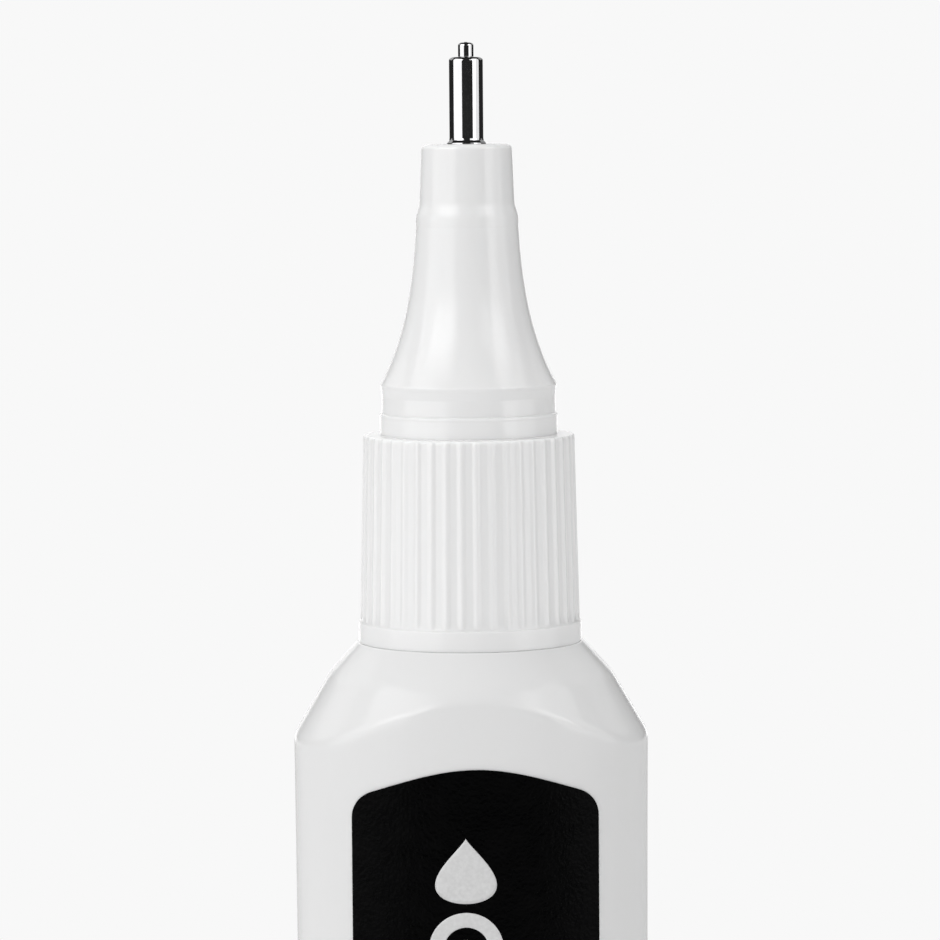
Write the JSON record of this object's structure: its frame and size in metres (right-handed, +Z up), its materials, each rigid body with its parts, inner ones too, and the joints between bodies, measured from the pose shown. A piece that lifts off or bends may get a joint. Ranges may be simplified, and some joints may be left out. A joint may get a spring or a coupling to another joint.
{
  "type": "glue applicator bottle",
  "caption": "Oval squeeze bottle with a ribbed screw closure, a long tapered nozzle and a metal fine-line tip that holds a spring-loaded needle valve.",
  "frame": {"origin": "centre of the bottle's base, where it stands", "axes": "+Z up the bottle's axis to the metal tip, +X across the wide side, the front panel faces -Y"},
  "size_m": [0.0356, 0.03, 0.1458],
  "materials": {
    "bottle_plastic": "soft satin, slightly translucent white blow-moulded polyethylene",
    "cap_plastic": "satin, slightly translucent white injection-moulded polypropylene",
    "glue": "wet white liquid",
    "label_film": "matte black film with a fine grain",
    "label_ink": "light grey print",
    "liner_foam": "white polyethylene foam",
    "tip_steel": "polished stainless steel",
    "valve_plastic": "natural acetal"
  },
  "bodies": {
    "bottle": {"bottle": "bottle_plastic", "glue_fill": "glue", "front_label": "label_film", "back_label": "label_film"},
    "liner": {"cap_liner": "liner_foam"},
    "cap": {"nozzle_cap": "cap_plastic", "tip_sleeve": "tip_steel", "tip_tube": "tip_steel", "spring_retainer": "valve_plastic", "return_spring": "tip_steel"},
    "needle": {"valve_needle": "tip_steel", "needle_plunger": "valve_plastic"}
  },
  "joints": [
    {"name": "cap_rise", "type": "slide", "parent": "bottle", "child": "liner", "axis": [0, 0, 1], "range_m": [0, 0.00557]},
    {"name": "cap_turn", "type": "hinge", "parent": "liner", "child": "cap", "pos_m": [0, 0, 0.1], "axis": [0, 0, 1], "range_deg": [0, 630]},
    {"name": "needle_press", "type": "slide", "parent": "cap", "child": "needle", "axis": [0, 0, -1], "range_m": [0, 0.0003], "stiffness_N_per_m": 250, "springref_m": -0.002, "deforming": ["return_spring"]}
  ],
  "couplings": [
    {"joint": "cap_rise", "follows": "cap_turn", "m_per_rad": 0.00050532}
  ]
}
